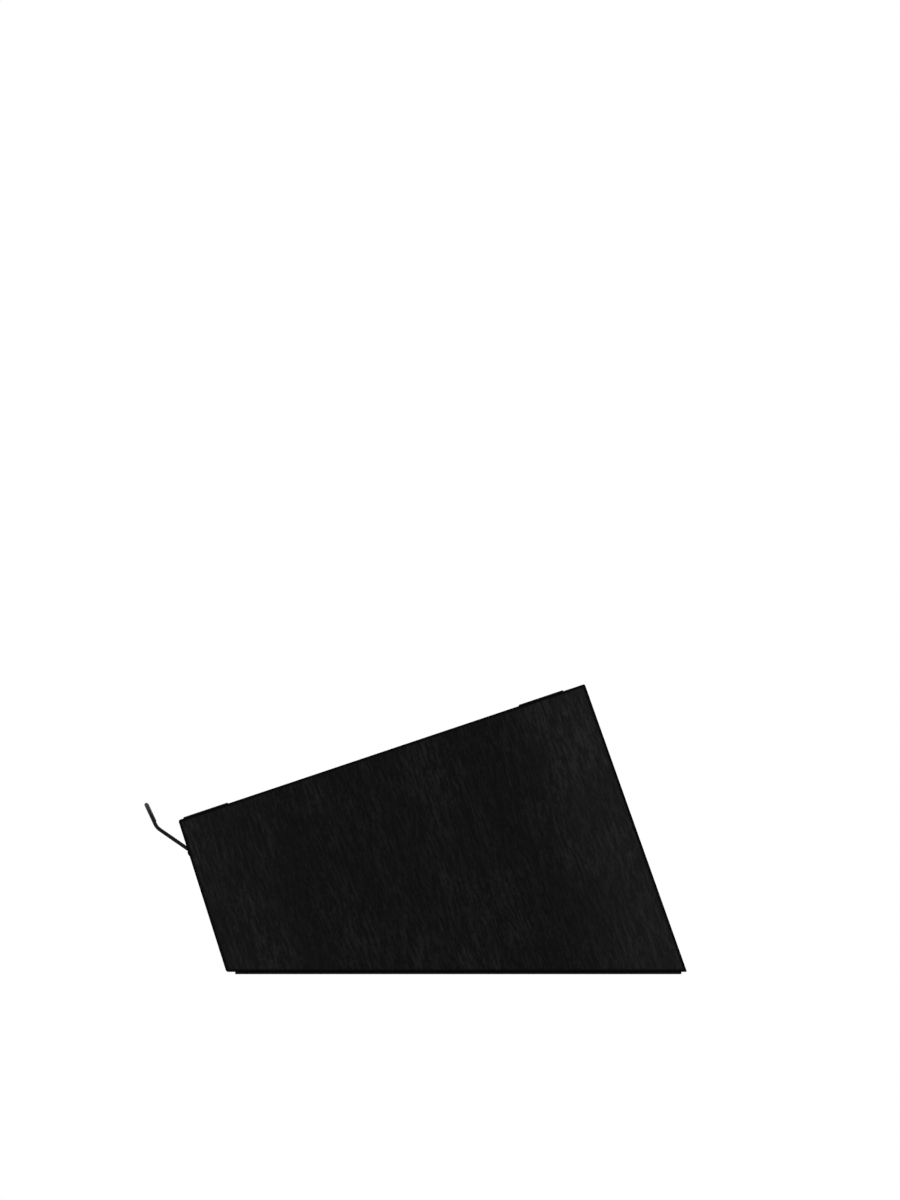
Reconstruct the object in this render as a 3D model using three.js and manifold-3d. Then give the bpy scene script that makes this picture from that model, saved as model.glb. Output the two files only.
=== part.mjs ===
// A laptop stand: a wedge-shaped veneered box with a sloping deck, and a bent
// steel lip at the front edge that folds down flat on a friction hinge.
//
// Millimetres. +X is the user's right, +Y is the rear, +Z is up. The origin is
// the middle of the base pad's underside, on the desk.
import * as THREE from "three";
import { mergeVertices } from "three/addons/utils/BufferGeometryUtils.js";
import Module from "manifold-3d";

const wasm = await Module();
wasm.setup();

// ---- driving dimensions ----------------------------------------------------

const WIDTH = 340;
const BASE_LENGTH = 245.1;
const FRONT_HEIGHT = 84.7; // along the leaning front face
const FRONT_LEAN = 17.6; // degrees from upright, the top being further forward
const DECK_LENGTH = 228.1;
const DECK_TILT = 18.53; // degrees, rising towards the rear

const PANEL = 9;
const CORNER_RADII = [1.5, 0.5, 1, 1.2]; // front bottom, rear bottom, rear top, front top
const MITRE_GAP = 0.1;
const GLUE_GAP = 0.1;

const PAD = { thickness: 1.2, frontInset: 4.7, rearInset: 3, sideInset: 2, screwHole: 6 };

const RIB = { thickness: 9, x: 57 };
const CLEAT = { width: 24, depth: 18 };
const DECK_CLEAT_SIZE = 18;

const GRIP = { thickness: 1.6, width: 25, proud: 0.6, centres: [15.5, 203.6], endGap: 1, sideGap: 0.2 };

// The hinge. Depths run from the front face into the box, and heights run up
// that face from its top edge, so every height here is negative.
const HINGE = { depth: 2.1, height: -18.5, bore: 1, barrel: 2.6, pin: 0.85 };
const KNUCKLE_ENDS = [-110, -80, -20, 20, 80, 110];
const KNUCKLE_GAP = 0.4;
const TAB_INSET = 0.5; // from the bore to the tab that joins a knuckle to its plate
const WASHER = { thickness: 0.8, radius: 2.4 };

const LIP = {
  width: 219,
  thickness: 2,
  lean: 37.8, // degrees from the front face, unfolded
  bend: 30.5, // degrees, back towards the laptop
  bendRadius: 8,
  lower: 23, // hinge axis to the bend's corner
  upper: 14.5, // the bend's corner to the tip
  cornerRadius: 6,
  notch: 3.2, // hinge axis to the sheet, between the lip's knuckles
};
const LINER = { thickness: 0.3, gap: 0.03, sideInset: 5, bottomInset: 3.2, topInset: 0.9 };

const LEAF = { thickness: 1.2, lipGap: 0.2, height: 24, cornerRadius: 2.5, holeSpacing: 60, holeDrop: 13 };
const REBATE = { sideGap: 1, stopGap: 0.3, barrelRoom: 3, endDrop: 30, cornerRadius: 3, backGap: 0.2 };
const HINGE_CLEAT = { halfLength: 105, thickness: 18, top: -21, bottom: -42 };

const HINGE_SCREW = { shank: 1.7, head: 3.1, headDepth: 1.2, length: 20, socket: 1.1, socketDepth: 0.8 };
const BASE_SCREW = { shank: 2, head: 4, headDepth: 2, length: 22, socket: 1.4, socketDepth: 1.3 };
const SCREW_CLEARANCE = 0.2;
const SCREW_LIFT = 0.02; // keeps a screw's head off the face it is driven into
const BASE_SCREW_X = 147;
const BASE_SCREW_Y = [-95, 0, 95];

const ARC_STEPS = 4;
const CORNER_STEPS = 6;
const ROUND_STEPS = 20;
const OVERCUT = 1;

// ---- materials ---------------------------------------------------------------

const material = (color, roughness, metalness = 0) =>
  new THREE.MeshStandardMaterial({ color, roughness, metalness });

const VENEER = material(0x161616, 0.75);
const PLYWOOD = material(0xc9a878, 0.8);
const HARDWOOD = material(0xb48a5a, 0.75);
const RUBBER = material(0x0e0e0e, 0.9);
const SILICONE = material(0x121212, 0.7);
const POWDER_COAT = material(0x0b0b0b, 0.55, 0.4);
const BLACK_STEEL = material(0x191919, 0.4, 1);
const STEEL = material(0x8a8c90, 0.35, 1);
const NYLON = material(0x2a2a2a, 0.6);

// ---- solids ------------------------------------------------------------------

/** A closed geometry as a manifold solid. */
function solid(geometry) {
  const bare = geometry.clone();
  bare.deleteAttribute("normal");
  bare.deleteAttribute("uv");
  const merged = mergeVertices(bare);
  return new wasm.Manifold(new wasm.Mesh({
    numProp: 3,
    vertProperties: Float32Array.from(merged.attributes.position.array),
    triVerts: Uint32Array.from(merged.index.array),
  }));
}

/** A manifold solid as a geometry with flat faces. */
function geometryOf(manifold) {
  const mesh = manifold.getMesh();
  const indexed = new THREE.BufferGeometry();
  indexed.setAttribute("position", new THREE.BufferAttribute(mesh.vertProperties, 3));
  indexed.setIndex(new THREE.BufferAttribute(mesh.triVerts, 1));
  const flat = indexed.toNonIndexed();
  flat.computeVertexNormals();
  return flat;
}

const cut = (geometry, ...tools) =>
  geometryOf(tools.reduce((rest, tool) => rest.subtract(solid(tool)), solid(geometry)));
const join = (geometry, ...others) =>
  geometryOf(others.reduce((whole, other) => whole.add(solid(other)), solid(geometry)));
const common = (geometry, other) => geometryOf(solid(geometry).intersect(solid(other)));

/** Extrudes a side section, drawn as (y, z), from one x to another. */
function acrossWidth(section, fromX, toX) {
  const geometry = new THREE.ExtrudeGeometry(section, {
    depth: toX - fromX,
    bevelEnabled: false,
    curveSegments: ARC_STEPS,
  });
  const turn = new THREE.Matrix4().makeBasis(
    new THREE.Vector3(0, 1, 0),
    new THREE.Vector3(0, 0, 1),
    new THREE.Vector3(1, 0, 0),
  );
  return geometry.applyMatrix4(turn).translate(fromX, 0, 0);
}

const polygon = (...points) => new THREE.Shape(points.map(([y, z]) => new THREE.Vector2(y, z)));
const rectangle = (y0, z0, y1, z1) => polygon([y0, z0], [y1, z0], [y1, z1], [y0, z1]);

/** A round bar or ring along X, centred on (0, 0) in the section. */
function ringAcrossWidth(radius, bore, fromX, toX) {
  const section = new THREE.Shape();
  section.absarc(0, 0, radius, 0, 2 * Math.PI);
  if (bore > 0) {
    const hole = new THREE.Path();
    hole.absarc(0, 0, bore, 0, 2 * Math.PI, true);
    section.holes.push(hole);
  }
  const geometry = new THREE.ExtrudeGeometry(section, {
    depth: toX - fromX,
    bevelEnabled: false,
    curveSegments: ROUND_STEPS,
  });
  return geometry.rotateY(Math.PI / 2).translate(fromX, 0, 0);
}

/** A deep block along Y, with rounded upper or lower corners as seen from the front. */
function roundedBlock({ half, low, high, lowRadius = 0, highRadius = 0 }) {
  const shape = new THREE.Shape();
  shape.moveTo(0, low);
  if (lowRadius > 0) {
    shape.absarc(half - lowRadius, low + lowRadius, lowRadius, -Math.PI / 2, 0);
  } else {
    shape.lineTo(half, low);
  }
  if (highRadius > 0) {
    shape.absarc(half - highRadius, high - highRadius, highRadius, 0, Math.PI / 2);
    shape.absarc(highRadius - half, high - highRadius, highRadius, Math.PI / 2, Math.PI);
  } else {
    shape.lineTo(half, high);
    shape.lineTo(-half, high);
  }
  if (lowRadius > 0) {
    shape.absarc(lowRadius - half, low + lowRadius, lowRadius, Math.PI, 1.5 * Math.PI);
  } else {
    shape.lineTo(-half, low);
  }
  shape.closePath();
  const block = new THREE.ExtrudeGeometry(shape, {
    depth: WIDTH,
    bevelEnabled: false,
    curveSegments: CORNER_STEPS,
  });
  return block.rotateX(Math.PI / 2).translate(0, WIDTH / 2, 0);
}

/** A countersunk screw along +Y: its flat head at y = 0, its point at y = length. */
function screw({ shank, head, headDepth, length, socket, socketDepth }) {
  const profile = [
    [0, 0],
    [head, 0],
    [shank, headDepth],
    [shank, length - 2 * shank],
    [0, length],
  ];
  const body = new THREE.LatheGeometry(profile.map(([r, y]) => new THREE.Vector2(r, y)), ROUND_STEPS);
  const recess = new THREE.CylinderGeometry(socket, socket, socketDepth + OVERCUT, 6);
  recess.translate(0, (socketDepth - OVERCUT) / 2, 0);
  return cut(body, recess);
}

/** The room that a screw needs in what it passes through, drawn like the screw. */
function screwHole({ shank, head, headDepth, length }, countersunk) {
  const radius = shank + SCREW_CLEARANCE;
  const deep = length + OVERCUT;
  const mouth = countersunk ? [[head + SCREW_CLEARANCE, -OVERCUT], [head + SCREW_CLEARANCE, 0]] : [];
  const profile = [
    [0, -OVERCUT],
    ...(countersunk ? mouth : [[radius, -OVERCUT]]),
    ...(countersunk ? [[radius, headDepth]] : []),
    [radius, deep],
    [0, deep],
  ];
  return new THREE.LatheGeometry(profile.map(([r, y]) => new THREE.Vector2(r, y)), ROUND_STEPS);
}

// ---- the side outline ----------------------------------------------------------

const radians = THREE.MathUtils.degToRad;
const leaning = (angle) => new THREE.Vector2(-Math.sin(radians(angle)), Math.cos(radians(angle)));
const sloping = (angle) => new THREE.Vector2(Math.cos(radians(angle)), Math.sin(radians(angle)));

const padLength = BASE_LENGTH - PAD.frontInset - PAD.rearInset;
const frontBottom = new THREE.Vector2(-padLength / 2 - PAD.frontInset, PAD.thickness);
const rearBottom = frontBottom.clone().add(new THREE.Vector2(BASE_LENGTH, 0));
const frontTop = frontBottom.clone().addScaledVector(leaning(FRONT_LEAN), FRONT_HEIGHT);
const rearTop = frontTop.clone().addScaledVector(sloping(DECK_TILT), DECK_LENGTH);
const CORNERS = [frontBottom, rearBottom, rearTop, frontTop];
const EDGE = { base: 0, rear: 1, deck: 2, front: 3 };

const corner = (index) => CORNERS[(index + 4) % 4];
const edgeDirection = (index) => corner(index + 1).clone().sub(corner(index)).normalize();
const outwardAngle = (index) => edgeDirection(index).angle() - Math.PI / 2;

/** Where edge i's line, moved inwards, crosses edge j's line, moved inwards. */
function insideCorner(i, insetI, j, insetJ) {
  const inward = (index) => new THREE.Vector2(-edgeDirection(index).y, edgeDirection(index).x);
  const start = corner(i).clone().addScaledVector(inward(i), insetI);
  const target = corner(j).clone().addScaledVector(inward(j), insetJ);
  const along = edgeDirection(i);
  const other = edgeDirection(j);
  const reach = target.sub(start).cross(other) / along.cross(other);
  return start.addScaledVector(along, reach);
}

/** The rounding at a corner: its centre, its radius, and the angles that it turns through. */
function rounding(index) {
  const i = (index + 4) % 4;
  const radius = CORNER_RADII[i];
  const centre = insideCorner((i + 3) % 4, radius, i, radius);
  const from = outwardAngle(i + 3);
  let to = outwardAngle(i);
  while (to < from) to += 2 * Math.PI;
  return { centre, radius, from, to, middle: (from + to) / 2 };
}

/** The whole outline with its rounded corners. */
function outline() {
  const shape = new THREE.Shape();
  for (let i = 0; i < 4; i += 1) {
    const { centre, radius, from, to } = rounding(i);
    shape.absarc(centre.x, centre.y, radius, from, to);
  }
  return shape;
}

/** One panel's section: a strip inside an edge, mitred at both ends. */
function panelSection(edge) {
  const start = rounding(edge);
  const end = rounding(edge + 1);
  const next = (edge + 1) % 4;
  const before = (edge + 3) % 4;
  const along = edgeDirection(edge);
  const innerStart = insideCorner(before, PANEL, edge, PANEL).addScaledVector(along, MITRE_GAP);
  const innerEnd = insideCorner(edge, PANEL, next, PANEL).addScaledVector(along, -MITRE_GAP);
  const shape = new THREE.Shape();
  shape.moveTo(innerEnd.x, innerEnd.y);
  shape.lineTo(innerStart.x, innerStart.y);
  const startTurn = MITRE_GAP / start.radius;
  const endTurn = MITRE_GAP / end.radius;
  shape.absarc(start.centre.x, start.centre.y, start.radius, start.middle + startTurn, start.to);
  shape.absarc(end.centre.x, end.centre.y, end.radius, end.from, end.middle - endTurn);
  shape.closePath();
  return shape;
}

/** A strip glued inside a panel, its ends cut to the panels next to it. */
function stripSection(edge, depth) {
  const next = (edge + 1) % 4;
  const before = (edge + 3) % 4;
  const near = PANEL + GLUE_GAP;
  const points = [
    insideCorner(before, near, edge, near),
    insideCorner(edge, near, next, near),
    insideCorner(edge, near + depth, next, near),
    insideCorner(before, near, edge, near + depth),
  ];
  return new THREE.Shape(points);
}

// ---- placing -------------------------------------------------------------------

const stand = new THREE.Group();

/** Adds a named mesh to a group. */
function add(parent, name, geometry, look) {
  const mesh = new THREE.Mesh(geometry, look);
  mesh.name = name;
  parent.add(mesh);
  return mesh;
}

/** A group whose Y runs into the box from the front face and whose Z runs up that face. */
const frontFace = new THREE.Group();
frontFace.position.set(0, frontTop.x, frontTop.y);
frontFace.rotation.x = radians(FRONT_LEAN);
stand.add(frontFace);

/** A group whose Y runs up the deck from its front edge and whose Z stands square to it. */
const deck = new THREE.Group();
deck.position.copy(frontFace.position);
deck.rotation.x = radians(DECK_TILT);
stand.add(deck);

/** A geometry drawn in a turned group, brought into the stand's own frame. */
function intoStand(geometry, group) {
  group.updateMatrix();
  return geometry.clone().applyMatrix4(group.matrix);
}

// ---- the box ---------------------------------------------------------------------

const insideX = WIDTH / 2 - PANEL;

function addSidePanels() {
  add(stand, "left_side_panel", acrossWidth(outline(), -WIDTH / 2, -insideX), VENEER);
  add(stand, "right_side_panel", acrossWidth(outline(), insideX, WIDTH / 2), VENEER);
}

/** The four hinge screws' places, each as an x. */
const hingeScrewXs = [-1.5, -0.5, 0.5, 1.5].map((step) => step * LEAF.holeSpacing);
const hingeScrewHeight = HINGE.height - LEAF.holeDrop;

/** Depths into the front face: the fixed leaf just behind the folded lip, and the recess. */
const leafDepth = HINGE.depth + LIP.thickness / 2 + LEAF.lipGap;
const recessDepth = leafDepth + LEAF.thickness + REBATE.backGap;

/** Points a part that is drawn along +Y into the front face at a screw's place. */
const atHingeScrew = (geometry, x) => geometry.translate(x, leafDepth, hingeScrewHeight);

/** Stands a part that is drawn along +Y up into the base at a screw's place. */
const atBaseScrew = (geometry, x, y) => geometry.rotateX(Math.PI / 2).translate(x, y, PAD.thickness);

/**
 * The recess in the front face for the hinge and the folded lip. From the top it
 * is a slope that the open lip stops against, a round for the barrel, and a flat
 * back that the fixed leaf is screwed to.
 */
function hingeRecess() {
  const axis = new THREE.Vector2(HINGE.depth, HINGE.height);
  const out = leaning(LIP.lean);
  const room = REBATE.barrelRoom;
  const stop = LIP.thickness / 2 + REBATE.stopGap;
  const slope = axis.clone().addScaledVector(sloping(LIP.lean), stop);
  const slopeTop = slope.clone().addScaledVector(out, (slope.x + OVERCUT) / -out.x);
  const roundStart = out.angle() - Math.asin(stop / room);
  const roundEnd = -Math.acos((recessDepth - HINGE.depth) / room);
  const end = HINGE.height - REBATE.endDrop;
  const section = new THREE.Shape();
  section.moveTo(-OVERCUT, end);
  section.lineTo(slopeTop.x, slopeTop.y);
  section.absarc(axis.x, axis.y, room, roundStart, roundEnd, true);
  section.lineTo(recessDepth, end);
  section.closePath();
  const half = KNUCKLE_ENDS.at(-1) + REBATE.sideGap;
  const routed = roundedBlock({ half, low: end, high: 0, lowRadius: REBATE.cornerRadius });
  return common(acrossWidth(section, -half, half), routed);
}

function addWrapPanels() {
  const tools = [
    intoStand(hingeRecess(), frontFace),
    ...hingeScrewXs.map((x) => intoStand(atHingeScrew(screwHole(HINGE_SCREW, false), x), frontFace)),
  ];
  const front = acrossWidth(panelSection(EDGE.front), -insideX, insideX);
  add(stand, "front_panel", cut(front, ...tools), VENEER);

  const grooves = GRIP.centres.map((centre) => {
    const half = GRIP.width / 2 + GRIP.sideGap;
    const depth = GRIP.thickness - GRIP.proud + GRIP.sideGap;
    const section = rectangle(centre - half, -depth, centre + half, OVERCUT);
    return intoStand(acrossWidth(section, -insideX - OVERCUT, insideX + OVERCUT), deck);
  });
  const top = acrossWidth(panelSection(EDGE.deck), -insideX, insideX);
  add(stand, "deck_panel", cut(top, ...grooves), VENEER);

  add(stand, "rear_panel", acrossWidth(panelSection(EDGE.rear), -insideX, insideX), VENEER);

  const base = acrossWidth(panelSection(EDGE.base), -insideX, insideX);
  const holes = baseScrewPlaces().map(([x, y]) => atBaseScrew(screwHole(BASE_SCREW, true), x, y));
  add(stand, "base_panel", cut(base, ...holes), VENEER);
}

function baseScrewPlaces() {
  return [-BASE_SCREW_X, BASE_SCREW_X].flatMap((x) => BASE_SCREW_Y.map((y) => [x, y]));
}

function addBasePad() {
  const halfWidth = insideX - PAD.sideInset;
  const shape = rectangle(-padLength / 2, 0, padLength / 2, PAD.thickness);
  const pad = acrossWidth(shape, -halfWidth, halfWidth);
  const holes = baseScrewPlaces().map(([x, y]) => {
    const hole = new THREE.CylinderGeometry(PAD.screwHole, PAD.screwHole, 4 * PAD.thickness, ROUND_STEPS);
    return hole.rotateX(Math.PI / 2).translate(x, y, 0);
  });
  add(stand, "base_pad", cut(pad, ...holes), RUBBER);
}

// ---- inside the box ----------------------------------------------------------------

/** The hinge cleat's room, as a box in the front face's frame. */
function hingeCleatShape(margin) {
  const near = PANEL + GLUE_GAP - margin;
  const far = PANEL + GLUE_GAP + HINGE_CLEAT.thickness + margin;
  const section = rectangle(near, HINGE_CLEAT.bottom - margin, far, HINGE_CLEAT.top + margin);
  const half = HINGE_CLEAT.halfLength + margin;
  return acrossWidth(section, -half, half);
}

function addRibs() {
  const near = PANEL + GLUE_GAP;
  const section = new THREE.Shape(
    [0, 1, 2, 3].map((edge) => insideCorner((edge + 3) % 4, near, edge, near)),
  );
  const notch = intoStand(hingeCleatShape(2 * GLUE_GAP), frontFace);
  for (const [side, x] of [["left", -RIB.x], ["right", RIB.x]]) {
    const rib = acrossWidth(section, x - RIB.thickness / 2, x + RIB.thickness / 2);
    add(stand, `${side}_rib`, cut(rib, notch), PLYWOOD);
  }
}

function addCleats() {
  const holes = baseScrewPlaces().map(([x, y]) => atBaseScrew(screwHole(BASE_SCREW, false), x, y));
  const base = stripSection(EDGE.base, CLEAT.depth);
  const top = stripSection(EDGE.deck, DECK_CLEAT_SIZE);
  const inner = insideX - CLEAT.width;
  const deckInner = insideX - DECK_CLEAT_SIZE;
  add(stand, "left_base_cleat", cut(acrossWidth(base, -insideX, -inner), ...holes), HARDWOOD);
  add(stand, "right_base_cleat", cut(acrossWidth(base, inner, insideX), ...holes), HARDWOOD);
  add(stand, "left_deck_cleat", acrossWidth(top, -insideX, -deckInner), HARDWOOD);
  add(stand, "right_deck_cleat", acrossWidth(top, deckInner, insideX), HARDWOOD);

  const pilotHoles = hingeScrewXs.map((x) => atHingeScrew(screwHole(HINGE_SCREW, false), x));
  add(frontFace, "hinge_cleat", cut(hingeCleatShape(0), ...pilotHoles), HARDWOOD);
}

function addGripStrips() {
  const [front, rear] = GRIP.centres;
  for (const [name, centre] of [["front_grip_strip", front], ["rear_grip_strip", rear]]) {
    const half = GRIP.width / 2;
    const section = rectangle(centre - half, GRIP.proud - GRIP.thickness, centre + half, GRIP.proud);
    const reach = insideX - GRIP.endGap;
    add(deck, name, acrossWidth(section, -reach, reach), SILICONE);
  }
}

// ---- the hinge -----------------------------------------------------------------------

/** The barrel is five knuckles: the leaf has the outer two and the middle one. */
const knuckles = KNUCKLE_ENDS.slice(0, -1).map((start, index) => ({
  from: start,
  to: KNUCKLE_ENDS[index + 1],
  onLip: index % 2 === 1,
}));

/** Shortens a lip knuckle where a friction washer sits, and leaves running gaps elsewhere. */
function lipKnuckleSpan({ from, to }) {
  const outerGap = WASHER.thickness + KNUCKLE_GAP;
  return from < 0 ? [from + outerGap, to - KNUCKLE_GAP] : [from + KNUCKLE_GAP, to - outerGap];
}

const hingeAxis = new THREE.Group();
hingeAxis.position.set(0, HINGE.depth, HINGE.height);
frontFace.add(hingeAxis);

function addHingeLeaf() {
  const near = leafDepth - HINGE.depth;
  const far = near + LEAF.thickness;
  const top = -REBATE.barrelRoom;
  const half = KNUCKLE_ENDS.at(-1);
  const plate = common(
    acrossWidth(rectangle(near, -LEAF.height, far, top), -half, half),
    roundedBlock({ half, low: -LEAF.height, high: 0, lowRadius: LEAF.cornerRadius }),
  );
  const tab = rectangle(near, top - OVERCUT, far, -HINGE.bore - TAB_INSET);
  const parts = knuckles.filter((knuckle) => !knuckle.onLip).flatMap(({ from, to }) => [
    ringAcrossWidth(HINGE.barrel, HINGE.bore, from, to),
    acrossWidth(tab, from, to),
  ]);
  const leaf = join(plate, ...parts);
  const holes = hingeScrewXs.map((x) => {
    const hole = screwHole({ ...HINGE_SCREW, length: LEAF.thickness }, true);
    return hole.translate(x, near, -LEAF.holeDrop);
  });
  add(hingeAxis, "hinge_leaf", cut(leaf, ...holes), POWDER_COAT);
}

function addHingePin() {
  const reach = KNUCKLE_ENDS.at(-1);
  add(hingeAxis, "hinge_pin", ringAcrossWidth(HINGE.pin, 0, -reach, reach), STEEL);
}

function addWashers() {
  const [left, right] = knuckles.filter((knuckle) => knuckle.onLip);
  const half = KNUCKLE_GAP / 2;
  const leftFrom = left.from + half;
  const rightTo = right.to - half;
  const washer = (from) => ringAcrossWidth(WASHER.radius, HINGE.bore, from, from + WASHER.thickness);
  add(hingeAxis, "left_friction_washer", washer(leftFrom), NYLON);
  add(hingeAxis, "right_friction_washer", washer(rightTo - WASHER.thickness), NYLON);
}

function addHingeScrews() {
  hingeScrewXs.forEach((x, index) => {
    const mesh = add(frontFace, `hinge_screw_${index + 1}`, screw(HINGE_SCREW), BLACK_STEEL);
    mesh.position.set(x, leafDepth + SCREW_LIFT, hingeScrewHeight);
  });
}

function addBaseScrews() {
  baseScrewPlaces().forEach(([x, y], index) => {
    const mesh = add(stand, `base_screw_${index + 1}`, screw(BASE_SCREW), BLACK_STEEL);
    mesh.rotation.x = Math.PI / 2;
    mesh.position.set(x, y, PAD.thickness + SCREW_LIFT);
  });
}

// ---- the lip ---------------------------------------------------------------------------

// In the lip's own frame the hinge axis is the origin, Z runs up the middle of the
// sheet's lower part and Y points to the laptop's side.
const lip = new THREE.Group();
lip.rotation.x = radians(LIP.lean);
hingeAxis.add(lip);

const bendCorner = new THREE.Vector2(0, LIP.lower);
const upperUp = leaning(-LIP.bend);
const upperAcross = sloping(-LIP.bend);

/** A place beside the sheet's upper part: so far up from the bend's corner, and across it. */
const besideUpper = (up, across) =>
  bendCorner.clone().addScaledVector(upperUp, up).addScaledVector(upperAcross, across);

/** The sheet's section: up its lower part, round the bend, and to its rounded tip. */
function sheetSection() {
  const bend = radians(LIP.bend);
  const half = LIP.thickness / 2;
  const trim = LIP.bendRadius * Math.tan(bend / 2);
  const centre = new THREE.Vector2(LIP.bendRadius, LIP.lower - trim);
  const tip = besideUpper(LIP.upper - half, 0);
  const shape = new THREE.Shape();
  shape.moveTo(-half, LIP.notch);
  shape.lineTo(half, LIP.notch);
  shape.absarc(centre.x, centre.y, LIP.bendRadius - half, Math.PI, Math.PI - bend, true);
  shape.absarc(tip.x, tip.y, half, -bend, Math.PI - bend);
  shape.absarc(centre.x, centre.y, LIP.bendRadius + half, Math.PI - bend, Math.PI);
  shape.closePath();
  return shape;
}

function addLipPlate() {
  const half = LIP.width / 2;
  const high = besideUpper(LIP.upper, 0).y;
  const sheet = common(
    acrossWidth(sheetSection(), -half, half),
    roundedBlock({ half, low: 0, high, highRadius: LIP.cornerRadius }),
  );
  const side = LIP.thickness / 2;
  const tab = rectangle(-side, HINGE.bore + TAB_INSET, side, LIP.notch + OVERCUT);
  const parts = knuckles.filter((knuckle) => knuckle.onLip).flatMap((knuckle) => {
    const [from, to] = lipKnuckleSpan(knuckle);
    return [ringAcrossWidth(HINGE.barrel, HINGE.bore, from, to), acrossWidth(tab, from, to)];
  });
  add(lip, "lip_plate", join(sheet, ...parts), POWDER_COAT);
}

/** A soft strip with rounded edges on the laptop's side of the sheet's upper part. */
function addLipLiner() {
  const round = LINER.thickness / 2;
  const across = LIP.thickness / 2 + LINER.gap + round;
  const bottom = besideUpper(LINER.bottomInset, across);
  const top = besideUpper(LIP.upper - LINER.topInset - round, across);
  const turn = radians(LIP.bend);
  const section = new THREE.Shape();
  section.absarc(top.x, top.y, round, -turn, Math.PI - turn);
  section.absarc(bottom.x, bottom.y, round, Math.PI - turn, 2 * Math.PI - turn);
  const reach = LIP.width / 2 - LINER.sideInset;
  add(lip, "lip_liner", acrossWidth(section, -reach, reach), SILICONE);
}

// ---- assembly ----------------------------------------------------------------------------

addSidePanels();
addWrapPanels();
addBasePad();
addRibs();
addCleats();
addGripStrips();
addHingeLeaf();
addHingePin();
addWashers();
addHingeScrews();
addBaseScrews();
addLipPlate();
addLipLiner();

export default stand;
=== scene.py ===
"""Looks for the laptop stand: stained veneer, powder-coated lip and hinge, and rubber pads."""

import math

import bmesh
import bpy
from mathutils import Matrix, Vector


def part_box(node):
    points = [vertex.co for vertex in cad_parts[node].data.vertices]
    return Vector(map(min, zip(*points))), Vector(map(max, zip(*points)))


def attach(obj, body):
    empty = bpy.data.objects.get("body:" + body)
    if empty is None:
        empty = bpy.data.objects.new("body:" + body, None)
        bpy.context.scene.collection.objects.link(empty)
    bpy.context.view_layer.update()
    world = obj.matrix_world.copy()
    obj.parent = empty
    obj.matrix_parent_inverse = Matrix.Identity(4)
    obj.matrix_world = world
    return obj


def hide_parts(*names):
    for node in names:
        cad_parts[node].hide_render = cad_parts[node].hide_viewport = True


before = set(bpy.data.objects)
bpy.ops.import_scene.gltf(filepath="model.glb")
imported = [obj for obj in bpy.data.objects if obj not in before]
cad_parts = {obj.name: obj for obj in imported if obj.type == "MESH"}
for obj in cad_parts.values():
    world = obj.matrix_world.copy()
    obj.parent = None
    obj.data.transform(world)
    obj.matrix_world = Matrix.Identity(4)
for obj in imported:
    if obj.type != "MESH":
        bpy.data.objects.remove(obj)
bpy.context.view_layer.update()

MM = 0.001

# ---- the stand's own angles, the same as in the CAD part -----------------------------

DECK_TILT = math.radians(18.53)
FRONT_LEAN = math.radians(17.6)
REAR_LEAN = math.radians(19.57)

# ---- camera, floor and light, in metres and watts --------------------------------------

VIEW_HEIGHT = 0.6383  # what the picture's long side covers
VIEW_AHEAD = 0.1187  # the picture's middle, behind the box's front lower edge
VIEW_ABOVE = 0.19785  # and above the box's underside
CAMERA_DISTANCE = 3.0

FLOOR_SIZE = 40.0
FLOOR_DROP = 0.0002  # keeps the floor just clear of the pad
SKY_SEEN = 1.0
SKY_LIGHT = 0.42
SUN_STRENGTH = 1.9
SUN_ANGLE = math.radians(50)
SUN_PLACE = (0.3, -0.9, 2.0)
SOFT_BOX_TARGET = (0, 0, 0.06)
SOFT_BOXES = (  # name, place, size, power
    ("side_box", (1.5, -1.0, 0.9), (1.2, 0.9), 5),
    ("low_box", (0.9, 0.75, 0.12), (0.4, 0.25), 1.2),
    ("rear_box", (-1.5, 1.3, 1.0), (1.2, 0.9), 12),
    ("front_box", (-0.4, -1.4, 0.3), (1.0, 0.5), 9),
)

# ---- veneer, in millimetres and linear colour --------------------------------------------

GRAIN = {  # width and length of the grains, detail, roughness, distortion
    "bands": (16, 300, 2, 0.5, 0.5),
    "patches": (22, 34, 2, 0.5, 0.0),
    "fibre": (0.8, 30, 3, 0.6, 0.0),
    "streak": (1.5, 8, 3, 0.6, 0.3),
    "speckle": (1.3, 2.2, 2, 0.6, 0.0),
    "thread": (0.17, 7, 2, 0.6, 0.0),
    "pores": (0.2, 3.4, 1, 0.5, 0.0),
}
FIGURE_WEIGHTS = {"fibre": 0.25, "streak": 0.5, "speckle": 0.25, "thread": 0.55}
SEED_STEP = (0.37, 0.21, 0.53)  # metres between two panels' places in the grain

STAIN_DEEP = (0.0031, 0.0030, 0.0030)
STAIN_THIN = (0.0148, 0.0143, 0.0139)
STAIN_BAND = (0.0042, 0.0041, 0.0041)
# painted light: lighter tones that the side panels take on towards their front and rear ends, where
# light falls
PAINTED_LIGHT_DEEP = (0.0140, 0.0137, 0.0134)
PAINTED_LIGHT_THIN = (0.0400, 0.0390, 0.0380)
PORE_COLOUR = (0.0008, 0.0008, 0.0008)
RIM_COLOUR = (0.0005, 0.0005, 0.0005)

# painted light on the side panels starts and ends at these distances
PAINTED_LIGHT_START = 0.05  # metres from the middle of the side, along the deck
PAINTED_LIGHT_END = 0.118
SIDE_PAINTED_LIGHT = (0.24, 0.5)  # how much painted light lightens the side panels at the front and rear ends
RIM_WIDTH_MM = 1.3  # the darker rim of each side panel
RIM_BLEND_MM = 0.5

# ---- shapes --------------------------------------------------------------------------------

WELD = 1e-6
SLIVER = 2e-6
FLAT_ANGLE = math.radians(0.4)
SHARP_ANGLE = math.radians(35)
SMOOTH_ANGLE = math.radians(40)
PANEL_EDGE_MM = 0.3
SIDE_EDGE_MM = 0.5

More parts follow.
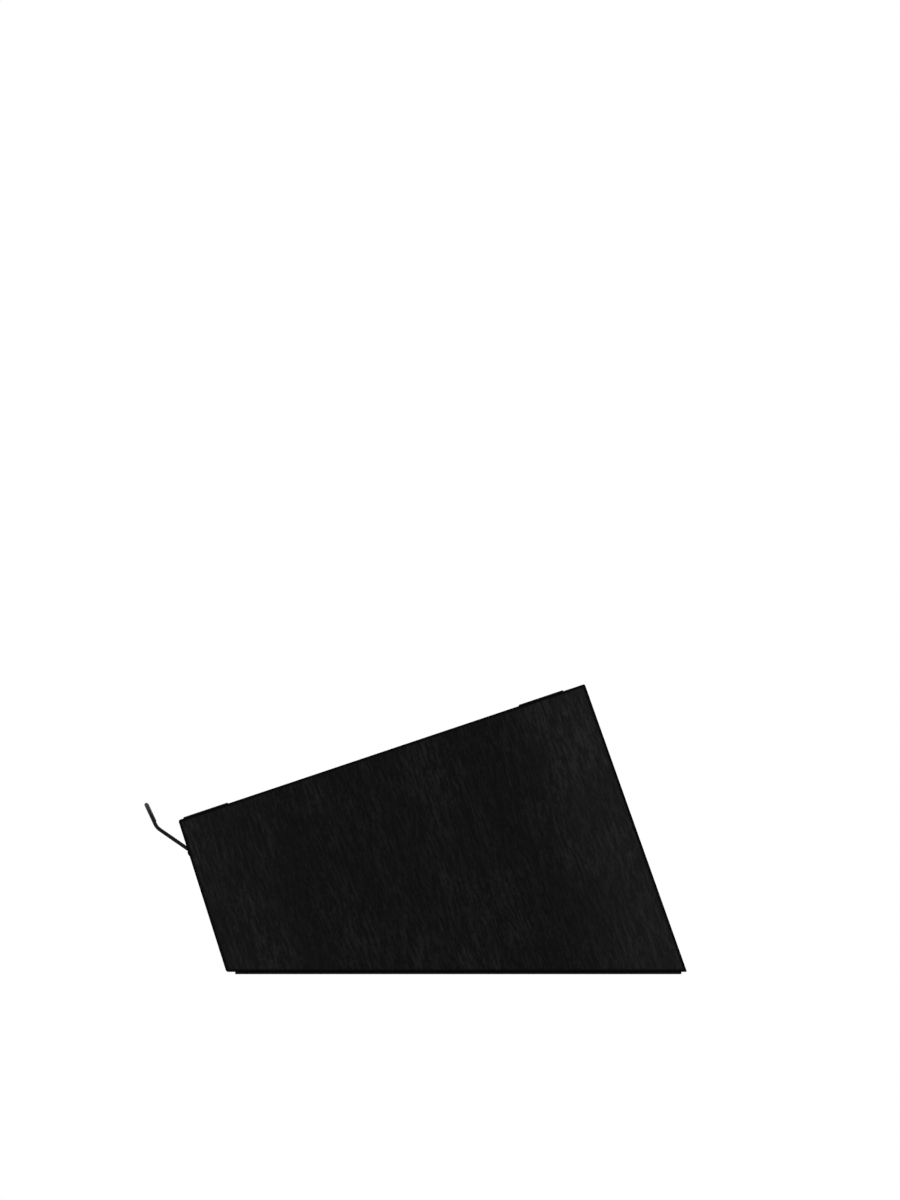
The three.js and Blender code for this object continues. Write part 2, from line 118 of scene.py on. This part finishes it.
RIB_BORDER_MM = 2.0
RIB_EASE_MM = 0.25
RIB_HALF_WIDTH = 0.44  # of the pitch
RIB_STEPS = 6
RIB_DEPTH_MM = 0.35
PAD_RIB_PITCH_MM = 4
GRIP_RIB_PITCH_MM = 2.5

SCREW_HOLE_RADIUS_MM = 6
SCREW_HOLE_LENGTH_MM = 10  # of the cutter, more than the pad is thick
SCREW_HOLE_SIDES = 48


def place_camera():
    """Looks square at the user's right side of the stand, from far away."""
    low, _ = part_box("base_panel")
    data = bpy.data.cameras.new("camera")
    data.type = "ORTHO"
    data.ortho_scale = VIEW_HEIGHT
    camera = bpy.data.objects.new("camera", data)
    camera.location = (CAMERA_DISTANCE, low.y + VIEW_AHEAD, low.z + VIEW_ABOVE)
    camera.rotation_euler = (math.pi / 2, 0, math.pi / 2)
    bpy.context.scene.collection.objects.link(camera)
    bpy.context.scene.camera = camera


def aimed(data, name, place, target):
    """Adds a light that shines from one place to another and isn't seen itself."""
    light = bpy.data.objects.new(name, data)
    light.location = place
    light.rotation_euler = (Vector(target) - Vector(place)).to_track_quat("-Z", "Y").to_euler()
    light.visible_camera = False
    bpy.context.scene.collection.objects.link(light)


def soft_box(name, place, size, power):
    data = bpy.data.lights.new(name, "AREA")
    data.shape = "RECTANGLE"
    data.size, data.size_y = size
    data.energy = power
    aimed(data, name, place, SOFT_BOX_TARGET)


def build_sky():
    """A white sky to look at, and a dimmer one to be lit by."""
    world = bpy.data.worlds.new("studio")
    bpy.context.scene.world = world
    world.use_nodes = True
    tree = world.node_tree
    tree.nodes.clear()
    seen = node(tree, "ShaderNodeBackground", Color=(1, 1, 1, 1), Strength=SKY_SEEN).outputs[0]
    lit = node(tree, "ShaderNodeBackground", Color=(1, 1, 1, 1), Strength=SKY_LIGHT).outputs[0]
    from_camera = node(tree, "ShaderNodeLightPath").outputs["Is Camera Ray"]
    mix = node(tree, "ShaderNodeMixShader", Fac=from_camera, i1=lit, i2=seen)
    node(tree, "ShaderNodeOutputWorld", Surface=mix.outputs[0])


def build_floor():
    mesh = bpy.data.meshes.new("floor")
    half = FLOOR_SIZE / 2
    corners = ((-half, -half), (half, -half), (half, half), (-half, half))
    mesh.from_pydata([(x, y, -FLOOR_DROP) for x, y in corners], [], [(0, 1, 2, 3)])
    floor = bpy.data.objects.new("floor", mesh)
    bpy.context.scene.collection.objects.link(floor)
    mesh.materials.append(floor_material())


def build_studio():
    """Plain soft light from above and from all sides, over a pale floor."""
    build_sky()
    build_floor()
    sun = bpy.data.lights.new("sun", "SUN")
    sun.energy = SUN_STRENGTH
    sun.angle = SUN_ANGLE
    aimed(sun, "sun", SUN_PLACE, (0, 0, 0))
    for name, place, size, power in SOFT_BOXES:
        soft_box(name, place, size, power)


# ---- node helpers ----------------------------------------------------------------------


def node(tree, kind, settings=None, **inputs):
    """Adds a node. An input is a value, or a socket to link from; i0, i1 and so on go by number."""
    made = tree.nodes.new(kind)
    for key, value in (settings or {}).items():
        setattr(made, key, value)
    for key, value in inputs.items():
        by_number = key[0] == "i" and key[1:].isdigit()
        socket = made.inputs[int(key[1:])] if by_number else made.inputs[key]
        if isinstance(value, bpy.types.NodeSocket):
            tree.links.new(value, socket)
        else:
            socket.default_value = value
    return made


class Material:
    """A Principled material with short ways to add textures in millimetres."""

    def __init__(self, name, roughness=0.5, metallic=0.0, specular=0.5):
        self.material = bpy.data.materials.new(name)
        self.material.use_nodes = True
        self.tree = self.material.node_tree
        self.shader = self.tree.nodes["Principled BSDF"]
        self.shader.inputs["Roughness"].default_value = roughness
        self.shader.inputs["Metallic"].default_value = metallic
        self.shader.inputs["Specular IOR Level"].default_value = specular
        self.place = node(self.tree, "ShaderNodeTexCoord").outputs["Object"]

    def turned(self, tilt, shift=(0, 0, 0)):
        """The place in a frame that is tilted back about X, so a leaning face stands upright."""
        turn = node(
            self.tree, "ShaderNodeMapping", Vector=self.place, Rotation=(-tilt, 0, 0), Location=shift,
        )
        return turn.outputs[0]

    def noise(self, place, size_mm, detail=2.0, rough=0.5, distortion=0.0):
        """Noise whose grains measure about size_mm along x, y and z."""
        scale = [1 / (size * MM) for size in size_mm]
        stretch = node(self.tree, "ShaderNodeMapping", Vector=place, Scale=scale)
        made = node(
            self.tree, "ShaderNodeTexNoise", Vector=stretch.outputs[0], Scale=1.0, Detail=detail,
            Roughness=rough, Distortion=distortion,
        )
        return made.outputs["Fac"]

    def ramp(self, value, low, high, to_low=0.0, to_high=1.0):
        """A smooth step from to_low, where the value is low, to to_high."""
        made = node(
            self.tree, "ShaderNodeMapRange", {"clamp": True, "interpolation_type": "SMOOTHSTEP"},
            Value=value, i1=low, i2=high, i3=to_low, i4=to_high,
        )
        return made.outputs["Result"]

    def math(self, operation, a, b=0.0):
        return node(self.tree, "ShaderNodeMath", {"operation": operation}, i0=a, i1=b).outputs[0]

    def times(self, a, b):
        return self.math("MULTIPLY", a, b)

    def mix(self, factor, a, b):
        """The colour a where the factor is 0, and b where it is 1."""
        made = node(self.tree, "ShaderNodeMix", {"data_type": "RGBA"})
        for index, value in ((0, factor), (6, a), (7, b)):
            socket = made.inputs[index]
            if isinstance(value, bpy.types.NodeSocket):
                self.tree.links.new(value, socket)
            else:
                socket.default_value = value if index == 0 else (*value, 1)
        return made.outputs[2]

    def depth_inside(self, planes):
        """How far a point lies inside the nearest of several planes, each (direction, reach)."""
        nearest = None
        for direction, reach in planes:
            along = node(
                self.tree, "ShaderNodeVectorMath", {"operation": "DOT_PRODUCT"},
                i0=self.place, i1=direction,
            )
            inside = self.math("SUBTRACT", reach, along.outputs["Value"])
            nearest = self.math("MINIMUM", nearest, inside) if nearest else inside
        return nearest

    def rounded(self):
        """1 on the rounded edges of a piece, 0 elsewhere."""
        return node(self.tree, "ShaderNodeAttribute", {"attribute_name": "edge"}).outputs["Fac"]

    def colour(self, socket):
        self.tree.links.new(socket, self.shader.inputs["Base Color"])

    def roughness(self, socket):
        self.tree.links.new(socket, self.shader.inputs["Roughness"])

    def bump(self, height, distance_mm, strength=1.0):
        made = node(
            self.tree, "ShaderNodeBump", Height=height, Distance=distance_mm * MM, Strength=strength,
        )
        self.tree.links.new(made.outputs[0], self.shader.inputs["Normal"])


# ---- materials ---------------------------------------------------------------------------


def floor_material():
    """Pale paper that is only seen from above, so the underside can be looked at."""
    made = Material("floor_paper", roughness=0.9, specular=0.1)
    tone = made.noise(made.place, (400, 400, 400))
    made.colour(made.mix(tone, (0.93, 0.93, 0.93), (0.97, 0.97, 0.97)))
    from_camera = node(made.tree, "ShaderNodeLightPath").outputs["Is Camera Ray"]
    behind = node(made.tree, "ShaderNodeNewGeometry").outputs["Backfacing"]
    shown = made.times(from_camera, made.math("SUBTRACT", 1.0, behind))
    clear = node(made.tree, "ShaderNodeBsdfTransparent").outputs[0]
    mix = node(made.tree, "ShaderNodeMixShader", Fac=shown, i1=clear, i2=made.shader.outputs[0])
    made.tree.links.new(mix.outputs[0], made.tree.nodes["Material Output"].inputs["Surface"])
    return made.material


def veneer(name, tilt, along, seed, painted_light=(0.0, 0.0), outline=()):
    """Black-stained open-pore oak, matt lacquered.

    The grain runs along one axis once the tilt is taken out. Painted light may lighten it towards the
    front and rear, by the painted light amounts. outline gives the planes that a panel with a dark rim
    lies inside.
    """
    made = Material(name, roughness=0.7, specular=0.1)
    place = made.turned(tilt, [seed * step for step in SEED_STEP])
    grain = {}
    for layer, (width, length, *noise_look) in GRAIN.items():
        size = [length if axis == along else width for axis in "xyz"]
        grain[layer] = made.noise(place, size, *noise_look)

    figure = 0.0
    for layer, weight in FIGURE_WEIGHTS.items():
        figure = made.math("ADD", figure, made.times(grain[layer], weight))
    strength = made.ramp(grain["patches"], 0.35, 0.65, 0.45, 1)
    tone = made.times(made.ramp(figure, 0.72, 0.88), strength)
    openness = made.ramp(grain["bands"], 0.35, 0.6, 0.4, 1)
    open_pores = made.times(made.ramp(grain["pores"], 0.56, 0.62), openness)

    stained = made.mix(tone, STAIN_DEEP, STAIN_THIN)
    banded = made.mix(made.ramp(grain["bands"], 0.4, 0.62, 0, 0.35), stained, STAIN_BAND)
    pored = made.mix(made.times(open_pores, 0.85), banded, PORE_COLOUR)
    # painted light: the stain is lightened towards the front and rear ends, standing in for light
    # falling there
    depth = node(made.tree, "ShaderNodeSeparateXYZ", Vector=made.turned(tilt)).outputs["Y"]
    front_light_lift = made.ramp(depth, -PAINTED_LIGHT_START, -PAINTED_LIGHT_END, 0, painted_light[0])
    rear_light_lift = made.ramp(depth, PAINTED_LIGHT_START, PAINTED_LIGHT_END, 0, painted_light[1])
    light_lift = made.math("ADD", front_light_lift, rear_light_lift)
    painted_lit = made.mix(light_lift, pored, made.mix(tone, PAINTED_LIGHT_DEEP, PAINTED_LIGHT_THIN))

    dark = made.times(made.rounded(), 0.9)
    if outline:
        depth_mm = made.math("DIVIDE", made.depth_inside(outline), MM)
        rim = made.ramp(depth_mm, RIM_WIDTH_MM, RIM_WIDTH_MM + RIM_BLEND_MM, 1, 0)
        dark = made.math("MAXIMUM", dark, rim)
    made.colour(made.mix(dark, painted_lit, RIM_COLOUR))
    made.roughness(made.ramp(figure, 0.7, 0.9, 0.8, 0.6))
    made.bump(made.math("SUBTRACT", made.times(figure, 0.5), open_pores), 0.12, 0.8)
    return made.material


def stained_edge():
    """The side panels' rounded edges, where the black stain has soaked into the end grain."""
    made = Material("stained_edge", roughness=1.0, specular=0.0)
    speckle = made.noise(made.place, (0.4, 0.4, 0.4))
    made.colour(made.mix(speckle, (0.0004, 0.0004, 0.0004), (0.0016, 0.0016, 0.0016)))
    made.bump(speckle, 0.05, 0.5)
    return made.material


def plywood():
    """Raw birch plywood, with its plies stacked along x."""
    made = Material("birch_plywood", roughness=0.75, specular=0.3)
    plies = made.noise(made.place, (2.6, 4000, 4000), detail=0)
    grain = made.noise(made.place, (0.8, 60, 0.8), detail=3)
    light = made.mix(grain, (0.52, 0.36, 0.20), (0.66, 0.49, 0.30))
    made.colour(made.mix(made.ramp(plies, 0.46, 0.54), light, (0.36, 0.22, 0.11)))
    made.bump(grain, 0.05, 0.4)
    return made.material


def hardwood():
    """Raw planed beech, with its small flecks."""
    made = Material("planed_beech", roughness=0.65, specular=0.3)
    grain = made.noise(made.place, (3, 80, 3), detail=3)
    fleck = made.noise(made.place, (0.5, 2.2, 0.5), detail=1)
    body = made.mix(grain, (0.42, 0.25, 0.13), (0.55, 0.36, 0.20))
    made.colour(made.mix(made.ramp(fleck, 0.6, 0.7), body, (0.30, 0.16, 0.08)))
    made.bump(grain, 0.04, 0.4)
    return made.material


def powder_coat():
    """Fine-textured black powder coat on steel, a little polished along its edges."""
    made = Material("powder_coat", roughness=0.5, specular=0.28)
    grit = made.noise(made.place, (0.35, 0.35, 0.35), detail=2)
    cloud = made.noise(made.place, (22, 22, 22), detail=3)
    body = made.mix(cloud, (0.0032, 0.0032, 0.0033), (0.0056, 0.0056, 0.0058))
    rubbed = made.times(made.rounded(), made.ramp(cloud, 0.5, 0.72, 0.0, 0.4))
    made.colour(made.mix(rubbed, body, (0.018, 0.018, 0.019)))
    made.roughness(made.ramp(grit, 0.3, 0.7, 0.42, 0.6))
    made.bump(grit, 0.03, 0.6)
    return made.material


def elastomer(name, dark, light, roughness, grain_mm):
    """Soft black rubber or silicone with a fine matt texture and a trace of dust."""
    made = Material(name, roughness=roughness, specular=0.35)
    matt = made.noise(made.place, (grain_mm, grain_mm, grain_mm), detail=2)
    dust = made.noise(made.place, (14, 14, 14), detail=4, rough=0.65)
    body = made.mix(matt, (dark,) * 3, (light,) * 3)
    made.colour(made.mix(made.ramp(dust, 0.56, 0.8, 0, 0.35), body, (0.028, 0.027, 0.026)))
    made.roughness(made.ramp(dust, 0.3, 0.7, roughness - 0.08, roughness + 0.1))
    made.bump(matt, 0.03, 0.5)
    return made.material


def metal(name, tone, roughness, grain_mm):
    """Plated or drawn steel, with grains or lines of the given size along x, y and z."""
    made = Material(name, roughness=roughness, metallic=1.0)
    lines = made.noise(made.place, grain_mm, detail=2)
    made.colour(made.mix(lines, tuple(part * 0.8 for part in tone), tone))
    made.roughness(made.ramp(lines, 0.3, 0.7, roughness - 0.07, roughness + 0.08))
    made.bump(lines, 0.01, 0.4)
    return made.material


def nylon():
    made = Material("black_nylon", roughness=0.55, specular=0.4)
    mottle = made.noise(made.place, (0.6, 0.6, 0.6))
    made.colour(made.mix(mottle, (0.018, 0.018, 0.018), (0.026, 0.026, 0.026)))
    return made.material


# ---- shapes --------------------------------------------------------------------------------


def shade(shape):
    """Smooth shading everywhere but across the sharp edges."""
    for face in shape.faces:
        face.smooth = True
    for edge in shape.edges:
        edge.smooth = edge.calc_face_angle(math.pi) < SMOOTH_ANGLE


def stand_in(name, shape, node_name, body):
    """Makes a piece of a finished shape. It rides on a body and stands for a CAD node."""
    mesh = bpy.data.meshes.new(name)
    shape.to_mesh(mesh)
    shape.free()
    piece = bpy.data.objects.new(name, mesh)
    bpy.context.scene.collection.objects.link(piece)
    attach(piece, body)
    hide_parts(node_name)
    return piece


def refined(name, node_name, body, looks, edge_mm, segments=2, edge_look=None):
    """Takes a CAD node's shape, rounds its sharp edges, and stands for it.

    looks is one material, or a list of (material, direction) for faces that look that way.
    edge_look is the material of the rounded edges, if they have their own.
    """
    shape = bmesh.new()
    shape.from_mesh(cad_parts[node_name].data)
    bmesh.ops.remove_doubles(shape, verts=shape.verts, dist=WELD)
    bmesh.ops.dissolve_limit(shape, angle_limit=FLAT_ANGLE, verts=shape.verts, edges=shape.edges)
    edge_layer = shape.faces.layers.float.new("edge")
    sharp = [edge for edge in shape.edges if edge.calc_face_angle(0) > SHARP_ANGLE]
    made = bmesh.ops.bevel(
        shape, geom=sharp, offset=edge_mm * MM, offset_type="OFFSET", segments=segments,
        profile=0.5, affect="EDGES", clamp_overlap=True,
    )
    for face in made["faces"]:
        face[edge_layer] = 1.0
    bmesh.ops.dissolve_degenerate(shape, dist=SLIVER, edges=shape.edges)
    shade(shape)
    piece = stand_in(name, shape, node_name, body)
    dress(piece.data, looks)
    if edge_look:
        dress_edges(piece.data, edge_look)
    normals = piece.modifiers.new("flat_faces", "WEIGHTED_NORMAL")
    normals.keep_sharp = True


def dress(mesh, looks):
    """Gives a mesh one look, or each face the look whose direction it faces most."""
    if isinstance(looks, bpy.types.Material):
        mesh.materials.append(looks)
        return
    for look, _ in looks:
        mesh.materials.append(look)
    for face in mesh.polygons:
        face.material_index = max(range(len(looks)), key=lambda i: face.normal.dot(looks[i][1]))


def dress_edges(mesh, look):
    """Gives a mesh's rounded edges a look of their own."""
    mesh.materials.append(look)
    for face, rounded in zip(mesh.polygons, mesh.attributes["edge"].data):
        if rounded.value:
            face.material_index = len(mesh.materials) - 1


def turned_box(node_name, tilt):
    """A CAD node's lowest and highest corners in a frame that is tilted back about X."""
    back = Matrix.Rotation(-tilt, 3, "X")
    places = [back @ vertex.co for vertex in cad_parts[node_name].data.vertices]
    low = Vector(min(place[axis] for place in places) for axis in range(3))
    high = Vector(max(place[axis] for place in places) for axis in range(3))
    return low, high


def rib_tops(start, end, pitch, depth):
    """Half-round ribs side by side from start to end, as (place, depth below the crests)."""
    count = round((end - start) / pitch)
    width = (end - start) / count
    points = []
    for rib in range(count):
        for step in range(RIB_STEPS):
            turn = math.pi * (step + 0.5) / RIB_STEPS
            place = start + width * (rib + 0.5 - RIB_HALF_WIDTH * math.cos(turn))
            points.append((place, depth * (1 - math.sin(turn))))
    return points


def ribbed(name, node_name, look, tilt, pitch_mm, facing=1):
    """A moulded sheet inside a CAD node's box.

    Its upper (1) or lower (-1) face has ribs along x inside a plain border.
    """
    low, high = turned_box(node_name, tilt)
    flat, crest = (low.z, high.z) if facing > 0 else (high.z, low.z)
    border, ease = RIB_BORDER_MM * MM, RIB_EASE_MM * MM
    ribs = rib_tops(low.y + border, high.y - border, pitch_mm * MM, RIB_DEPTH_MM * MM)
    near_rim = [(low.y, ease), (low.y + ease, 0), (low.y + border, 0)]
    far_rim = [(high.y - border, 0), (high.y - ease, 0), (high.y, ease)]

    def section(relief):
        """The outline from front to rear, with the ribs cut to full depth (1) or not at all (0)."""
        drops = near_rim + [(y, relief * drop) for y, drop in ribs] + far_rim
        top = [(y, crest - facing * drop) for y, drop in drops]
        return [(low.y, flat)] + top + [(high.y, flat)]

    stations = [(low.x, 0), (low.x + border, 0), (low.x + border + ease, 1)]
    stations += [(high.x - border - ease, 1), (high.x - border, 0), (high.x, 0)]
    turn = Matrix.Rotation(tilt, 3, "X")
    shape = bmesh.new()
    rings = []
    for x, relief in stations:
        rings.append([shape.verts.new(turn @ Vector((x, y, z))) for y, z in section(relief)])
    shape.faces.new(rings[0])
    shape.faces.new(reversed(rings[-1]))
    for ring, following in zip(rings, rings[1:]):
        for i, j in zip(range(-1, len(ring) - 1), range(len(ring))):
            shape.faces.new((ring[i], ring[j], following[j], following[i]))
    bmesh.ops.recalc_face_normals(shape, faces=shape.faces)
    shade(shape)
    piece = stand_in(name, shape, node_name, "stand")
    piece.data.materials.append(look)
    return piece


def drill(piece, screw_names):
    """Cuts a round hole through a sheet around each screw."""
    for screw_name in screw_names:
        low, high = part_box(screw_name)
        bpy.ops.mesh.primitive_cylinder_add(
            vertices=SCREW_HOLE_SIDES, radius=SCREW_HOLE_RADIUS_MM * MM, depth=SCREW_HOLE_LENGTH_MM * MM,
            location=((low.x + high.x) / 2, (low.y + high.y) / 2, low.z),
        )
        cutter = bpy.context.object
        cut = piece.modifiers.new("hole", "BOOLEAN")
        cut.operation = "DIFFERENCE"
        cut.solver = "EXACT"
        cut.object = cutter
        result = piece.evaluated_get(bpy.context.evaluated_depsgraph_get())
        drilled = bpy.data.meshes.new_from_object(result)
        piece.modifiers.remove(cut)
        piece.data = drilled
        bpy.data.objects.remove(cutter)


def paint(node_name, look):
    """Gives a CAD node a better material."""
    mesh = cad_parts[node_name].data
    mesh.materials.clear()
    mesh.materials.append(look)


# ---- the object ------------------------------------------------------------------------------


def build_box():
    """The six veneered panels. The side panels' narrow faces match the panels beside them."""
    deck = veneer("veneer_deck", DECK_TILT, "y", 3)
    front = veneer("veneer_front", FRONT_LEAN, "z", 4)
    rear = veneer("veneer_rear", REAR_LEAN, "z", 5)
    base = veneer("veneer_base", 0, "x", 6)
    narrow_faces = [
        (deck, Vector((0, -math.sin(DECK_TILT), math.cos(DECK_TILT)))),
        (front, Vector((0, -math.cos(FRONT_LEAN), -math.sin(FRONT_LEAN)))),
        (rear, Vector((0, math.cos(REAR_LEAN), math.sin(REAR_LEAN)))),
        (base, Vector((0, 0, -1))),
    ]
    edge = stained_edge()
    for hand, seed in (("left", 1), ("right", 2)):
        corners = [vertex.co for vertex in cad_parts[f"{hand}_side_panel"].data.vertices]
        outline = [(way, max(corner.dot(way) for corner in corners)) for _, way in narrow_faces]
        # the side panels get painted light towards their front and rear ends
        side = veneer(f"veneer_{hand}", DECK_TILT, "z", seed, SIDE_PAINTED_LIGHT, outline)
        looks = [(side, Vector((-1, 0, 0))), (side, Vector((1, 0, 0)))] + narrow_faces
        refined(f"{hand}_side", f"{hand}_side_panel", "stand", looks, SIDE_EDGE_MM, 3, edge)
    for name, look in (("deck", deck), ("front", front), ("rear", rear), ("base", base)):
        refined(name, f"{name}_panel", "stand", look, PANEL_EDGE_MM)


def build_soft_parts():
    rubber = elastomer("pad_rubber", 0.006, 0.012, 0.8, 0.8)
    pad = ribbed("desk_pad", "base_pad", rubber, 0, PAD_RIB_PITCH_MM, facing=-1)
    drill(pad, [f"base_screw_{index}" for index in range(1, 7)])
    grip = elastomer("grip_silicone", 0.0075, 0.0115, 0.62, 0.5)
    for end in ("front", "rear"):
        ribbed(f"{end}_grip", f"{end}_grip_strip", grip, DECK_TILT, GRIP_RIB_PITCH_MM)
    refined("lip_pad", "lip_liner", "lip", grip, 0.1)


def build_hinge():
    coat = powder_coat()
    refined("lip_sheet", "lip_plate", "lip", coat, 0.3)
    refined("fixed_leaf", "hinge_leaf", "stand", coat, 0.2)
    plated = metal("black_zinc", (0.05, 0.05, 0.052), 0.38, (0.4, 0.4, 0.4))
    for index in range(1, 5):
        refined(f"leaf_screw_{index}", f"hinge_screw_{index}", "stand", plated, 0.12)
    for index in range(1, 7):
        refined(f"underside_screw_{index}", f"base_screw_{index}", "stand", plated, 0.15)
    drawn = metal("drawn_steel", (0.5, 0.5, 0.51), 0.28, (30, 0.15, 0.15))
    refined("pin", "hinge_pin", "stand", drawn, 0.2)
    black_nylon = nylon()
    for hand in ("left", "right"):
        refined(f"{hand}_washer", f"{hand}_friction_washer", "stand", black_nylon, 0.1)


def build_inside():
    """The ribs and cleats that hold the panels together, hidden inside the box."""
    birch = plywood()
    beech = hardwood()
    paint("hinge_cleat", beech)
    for hand in ("left", "right"):
        paint(f"{hand}_rib", birch)
        paint(f"{hand}_base_cleat", beech)
        paint(f"{hand}_deck_cleat", beech)


bpy.context.scene.view_settings.view_transform = "Standard"
place_camera()
build_studio()
build_box()
build_soft_parts()
build_hinge()
build_inside()
